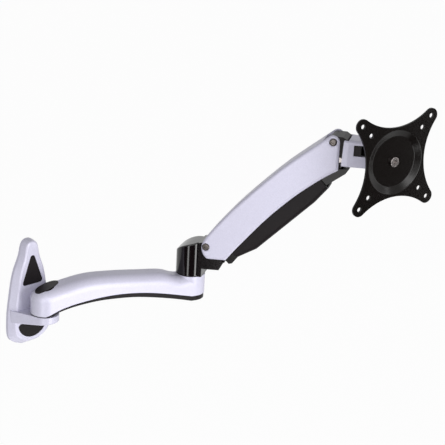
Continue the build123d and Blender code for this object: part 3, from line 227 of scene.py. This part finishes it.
def makeSilverCoat(look):
    material, tree = newMaterial("silver powder coat on die-cast aluminium")
    place = addNode(tree, "ShaderNodeTexCoord").outputs["Object"]
    peel = addNode(tree, "ShaderNodeTexNoise", Vector=place, Scale=1 / look["peel"], Detail=2.0)
    bump = addNode(tree, "ShaderNodeBump", Height=peel.outputs[0], Distance=look["relief"], Strength=1.0)
    flake = addNode(tree, "ShaderNodeTexVoronoi", Vector=place, Scale=1 / look["flake"])
    glint = addNode(tree, "ShaderNodeSeparateXYZ", Vector=flake.outputs["Color"])
    tint = addNode(
        tree, "ShaderNodeMix", {"data_type": "RGBA"},
        _0=glint.outputs["X"], _6=hexColor(look["deep"]), _7=hexColor(look["color"]),
    )
    rough = addNode(
        tree, "ShaderNodeMapRange", Value=peel.outputs[0],
        To_Min=look["roughness"] - look["roughnessSwing"],
        To_Max=look["roughness"] + look["roughnessSwing"],
    )
    paint = addNode(
        tree, "ShaderNodeBsdfPrincipled", Base_Color=tint.outputs[2], Metallic=look["metallic"],
        Roughness=rough.outputs[0], Normal=bump.outputs[0], Specular_IOR_Level=look["specular"],
    )
    addNode(tree, "ShaderNodeOutputMaterial", Surface=paint.outputs[0])
    return material


# The black and bare finishes, each with its own grain; grain and relief are in metres,
# and the roughness varies along the grain by this share of itself
roughnessShare = 0.12
finishLooks = {
    # sprayed gloss over a casting: near black, mirror highlights slightly softened by the film
    "black_casting": {
        "name": "gloss black paint on die-cast aluminium",
        "color": "#120c0e", "deep": "#0d090a", "roughness": 0.12, "metallic": 0.0, "specular": 0.5,
        "grain": 0.003, "relief": 0.000008,
    },
    # spark-eroded mould face: charcoal, broad dull highlights; the real grain is a third of this size
    "black_plastic": {
        "name": "spark-textured black ABS",
        "color": "#1d191b", "deep": "#151213", "roughness": 0.42, "metallic": 0.0, "specular": 0.15,
        "grain": 0.0012, "relief": 0.00003,
    },
    # baked powder on pressed sheet: deep black, satin, so only edges and bends catch light
    "black_painted_steel": {
        "name": "satin black powder coat on sheet steel",
        "color": "#0e0a09", "deep": "#090706", "roughness": 0.2, "metallic": 0.0, "specular": 0.2,
        "grain": 0.0012, "relief": 0.00002,
    },
    # plated fastener: bright, slightly blurred by the drawing marks under the zinc
    "zinc_steel": {
        "name": "bright zinc-plated steel",
        "color": "#96908e", "deep": "#7f7a79", "roughness": 0.26, "metallic": 1.0, "specular": 0.5,
        "grain": 0.0012, "relief": 0.00001,
    },
    # ground and polished: a clean mirror
    "hard_chrome": {
        "name": "hard chrome on a ground rod",
        "color": "#d8d8dc", "deep": "#c9c9ce", "roughness": 0.1, "metallic": 1.0, "specular": 0.5,
        "grain": 0.0015, "relief": 0.000004,
    },
    # turned bearing plastic: dull dark grey
    "bearing_polymer": {
        "name": "turned dark acetal",
        "color": "#2b2b2d", "deep": "#222224", "roughness": 0.45, "metallic": 0.0, "specular": 0.4,
        "grain": 0.001, "relief": 0.00001,
    },
    # blackened socket screws: dark steel with oily bright spots where the dome faces a lamp
    "black_oxide": {
        "name": "black oxide on a socket screw",
        "color": "#66605d", "deep": "#4a4543", "roughness": 0.28, "metallic": 0.85, "specular": 0.5,
        "grain": 0.0012, "relief": 0.00001,
    },
}


def makeFinish(look):
    material, tree = newMaterial(look["name"])
    place = addNode(tree, "ShaderNodeTexCoord").outputs["Object"]
    grain = addNode(tree, "ShaderNodeTexNoise", Vector=place, Scale=1 / look["grain"], Detail=3.0)
    bump = addNode(tree, "ShaderNodeBump", Height=grain.outputs[0], Distance=look["relief"], Strength=1.0)
    tint = addNode(
        tree, "ShaderNodeMix", {"data_type": "RGBA"},
        _0=grain.outputs[0], _6=hexColor(look["deep"]), _7=hexColor(look["color"]),
    )
    rough = addNode(
        tree, "ShaderNodeMapRange", Value=grain.outputs[0],
        To_Min=look["roughness"] * (1 - roughnessShare), To_Max=look["roughness"] * (1 + roughnessShare),
    )
    body = addNode(
        tree, "ShaderNodeBsdfPrincipled", Base_Color=tint.outputs[2], Metallic=look["metallic"],
        Roughness=rough.outputs[0], Normal=bump.outputs[0], Specular_IOR_Level=look["specular"],
    )
    addNode(tree, "ShaderNodeOutputMaterial", Surface=body.outputs[0])
    return material


finishes = {slot: makeFinish(look) for slot, look in finishLooks.items()}
finishes["silver_casting"] = makeSilverCoat(silverCoat)
slotOf = {entry["node"]: entry["material_slot"] for entry in frame["record"]["subparts"]}
# the pivot screws are darker than bare zinc, and the hinge block is duller than the gloss castings
slotOf["pivot_screws"] = "black_oxide"
slotOf["head_hinge_block"] = "black_plastic"
for name, node in nodes.items():
    node.data.materials.clear()
    node.data.materials.append(finishes[slotOf[name]])
print("finishes on", len(nodes), "nodes")

# Rolled rims round the eight screw holes of the screen plate
holeRims = {
    "center": (0.3321, 0.28555, 0.20442),
    "yaw": -14.0,
    "spin": 2.9,
    "outerSpacing": 0.1,
    "innerSpacing": 0.075,
    "rimRadius": 0.0031,
    "lipRadius": 0.0003,
    "rimSteps": 32,
    "lipSteps": 10,
}


def rimTree(setup):
    tree = bpy.data.node_groups.new("holeRims", "GeometryNodeTree")
    tree.interface.new_socket("Geometry", in_out="INPUT", socket_type="NodeSocketGeometry")
    tree.interface.new_socket("Geometry", in_out="OUTPUT", socket_type="NodeSocketGeometry")
    sizes = {}
    for name in ("outerSpacing", "innerSpacing", "rimRadius", "lipRadius"):
        socket = tree.interface.new_socket(name, in_out="INPUT", socket_type="NodeSocketFloat")
        sizes[name] = socket.identifier
    given = addNode(tree, "NodeGroupInput")
    path = addNode(
        tree, "GeometryNodeCurvePrimitiveCircle",
        Resolution=setup["rimSteps"], Radius=given.outputs["rimRadius"],
    )
    lip = addNode(
        tree, "GeometryNodeCurvePrimitiveCircle",
        Resolution=setup["lipSteps"], Radius=given.outputs["lipRadius"],
    )
    rim = addNode(
        tree, "GeometryNodeCurveToMesh", Curve=path.outputs[0], Profile_Curve=lip.outputs[0],
    )
    corners = addNode(tree, "GeometryNodeJoinGeometry")
    for name in ("outerSpacing", "innerSpacing"):
        grid = addNode(
            tree, "GeometryNodeMeshGrid", Size_X=given.outputs[name], Size_Y=given.outputs[name],
            Vertices_X=2, Vertices_Y=2,
        )
        tree.links.new(grid.outputs[0], corners.inputs[0])
    rims = addNode(
        tree, "GeometryNodeInstanceOnPoints", Points=corners.outputs[0], Instance=rim.outputs[0],
    )
    yaw, spin = radians(setup["yaw"]), radians(setup["spin"])
    out = Vector((cos(yaw), sin(yaw), 0))
    right = Vector((-sin(yaw), cos(yaw), 0)) * cos(spin) + Vector((0, 0, 1)) * sin(spin)
    turned = Matrix((right, out.cross(right), out)).transposed().to_euler()
    placed = addNode(
        tree, "GeometryNodeTransform",
        Geometry=rims.outputs[0], Translation=setup["center"], Rotation=turned,
    )
    solid = addNode(tree, "GeometryNodeRealizeInstances", Geometry=placed.outputs[0])
    painted = addNode(
        tree, "GeometryNodeSetMaterial",
        Geometry=solid.outputs[0], Material=finishes["black_painted_steel"],
    )
    addNode(tree, "NodeGroupOutput", Geometry=painted.outputs[0])
    return tree, sizes


def buildRims(setup):
    tree, sizes = rimTree(setup)
    carrier = bpy.data.objects.new("holeRimsCarrier", bpy.data.meshes.new("holeRimsCarrier"))
    bpy.context.scene.collection.objects.link(carrier)
    modifier = carrier.modifiers.new("holeRims", "NODES")
    modifier.node_group = tree
    for name, socket in sizes.items():
        modifier[socket] = setup[name]
    ready = carrier.evaluated_get(bpy.context.evaluated_depsgraph_get())
    mesh = bpy.data.meshes.new_from_object(ready)
    mesh.name = "holeRims"
    for face in mesh.polygons:
        face.use_smooth = True
    bpy.data.objects.remove(carrier)
    rims = bpy.data.objects.new("holeRims", mesh)
    bpy.context.scene.collection.objects.link(rims)
    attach(rims, "screen_plate")


buildRims(holeRims)
print("hole rims rolled")
